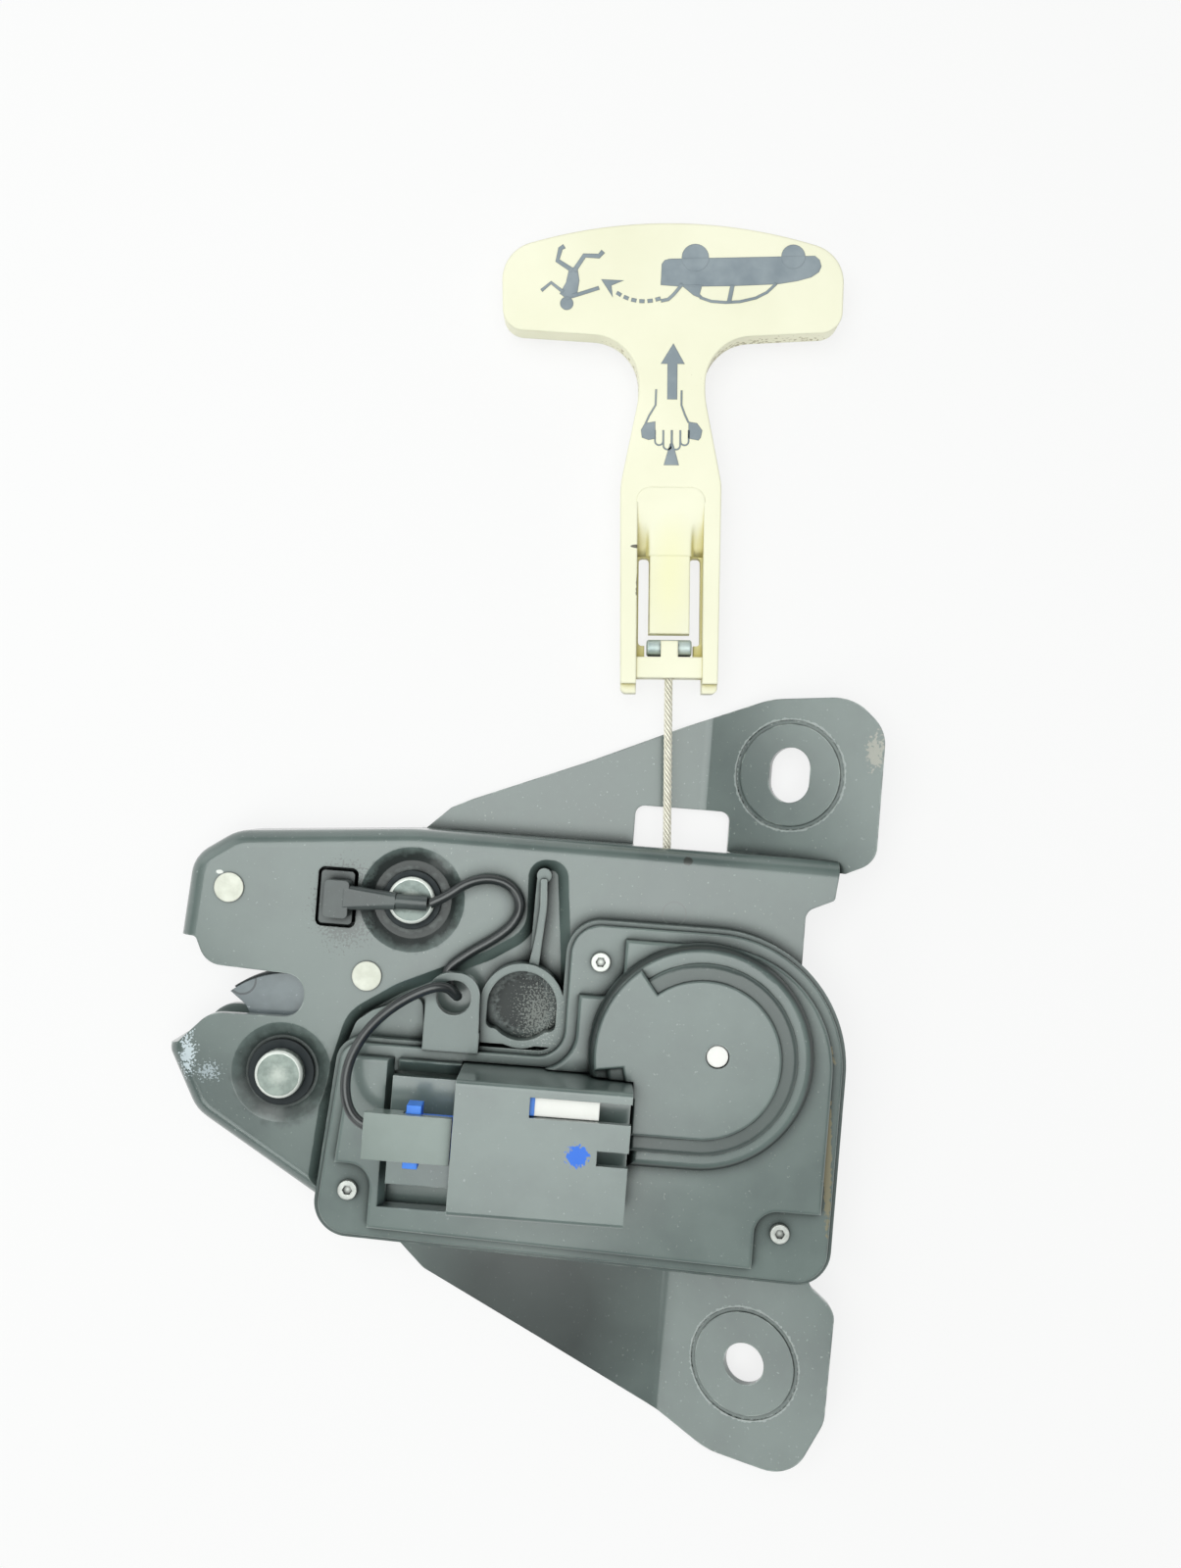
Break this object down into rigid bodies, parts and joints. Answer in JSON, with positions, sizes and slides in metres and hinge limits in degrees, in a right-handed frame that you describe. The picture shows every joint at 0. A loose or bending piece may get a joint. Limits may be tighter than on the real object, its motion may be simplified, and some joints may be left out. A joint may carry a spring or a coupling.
{
  "type": "trunk latch with emergency release handle",
  "caption": "Trunk lid latch in a bent steel plate, with a power release actuator and a pull cable ending in a pale T-shaped emergency handle.",
  "frame": {"origin": "centre of the lower bolt hole, at the middle of the sheet", "axes": "+Y from the lower bolt hole to the upper bolt slot, +Z out of the latch's front plate, +X towards the bolt pads' free edges"},
  "size_m": [0.1413, 0.2572, 0.038],
  "materials": {
    "coated_steel": "semi-gloss black coat",
    "rivet_steel": "zinc plated, dull",
    "mechanism_steel": "stamped, oiled",
    "grey_nylon": "matte",
    "spring_steel": "drawn wire",
    "wire_rope": "stranded",
    "zinc": "die cast",
    "glow_plastic": "smooth, pale yellow",
    "black_nylon": "fine moulded grain",
    "screw_steel": "plated",
    "motor_can": "plated can",
    "white_acetal": "smooth",
    "blue_plastic": "smooth",
    "terminal_brass": "tin plated",
    "black_rubber": "matte"
  },
  "bodies": {
    "case": {"latch_plate": "coated_steel", "back_plate": "coated_steel", "fork_pivot": "rivet_steel", "pawl_pivot": "rivet_steel", "spacer_rivets": "rivet_steel", "actuator_base": "black_nylon", "actuator_cover": "black_nylon", "cover_screws": "screw_steel", "motor": "motor_can", "connector_shroud": "black_nylon", "terminal_carrier": "blue_plastic", "terminal_lock": "white_acetal", "terminals": "terminal_brass", "lead_plug": "black_nylon", "switch_body": "black_nylon", "switch_boot": "black_rubber", "lead": "black_rubber", "fork_spring": "spring_steel", "pawl_spring": "spring_steel"},
    "catch": {"fork": "mechanism_steel", "fork_overmould": "grey_nylon"},
    "lever": {"pawl": "mechanism_steel", "release_lever": "mechanism_steel"},
    "pull": {"emergency_handle": "glow_plastic", "handle_pin": "zinc", "release_cable": "wire_rope", "cable_nipple": "zinc"},
    "gear": {"drive_gear": "white_acetal"},
    "worm_shaft": {"worm": "white_acetal", "motor_shaft": "spring_steel"}
  },
  "joints": [
    {"name": "handle_pull", "type": "slide", "parent": "case", "child": "pull", "axis": [-0.068, 0.9977, 0], "range_m": [0, 0.01], "stiffness_N_per_m": 300},
    {"name": "lever_swing", "type": "hinge", "parent": "case", "child": "lever", "pos_m": [-0.0762, 0.0921, 0], "axis": [0, 0, 1], "range_deg": [0, 11.02]},
    {"name": "fork_turn", "type": "hinge", "parent": "case", "child": "catch", "pos_m": [-0.1001, 0.055, 0], "axis": [0, 0, -1], "range_deg": [0, 53], "stiffness_Nm_per_rad": 0.05},
    {"name": "gear_turn", "type": "hinge", "parent": "case", "child": "gear", "pos_m": [-0.0129, 0.0674, 0], "axis": [0, 0, -1], "range_deg": [0, 40]},
    {"name": "worm_turn", "type": "hinge", "parent": "case", "child": "worm_shaft", "pos_m": [-0.0129, 0.05025, 0.0138], "axis": [1, 0, 0], "range_deg": [-1, 1650]}
  ],
  "couplings": [
    {"joint": "lever_swing", "follows": "handle_pull", "rad_per_m": 18.883},
    {"joint": "worm_turn", "follows": "gear_turn", "ratio": 41}
  ]
}
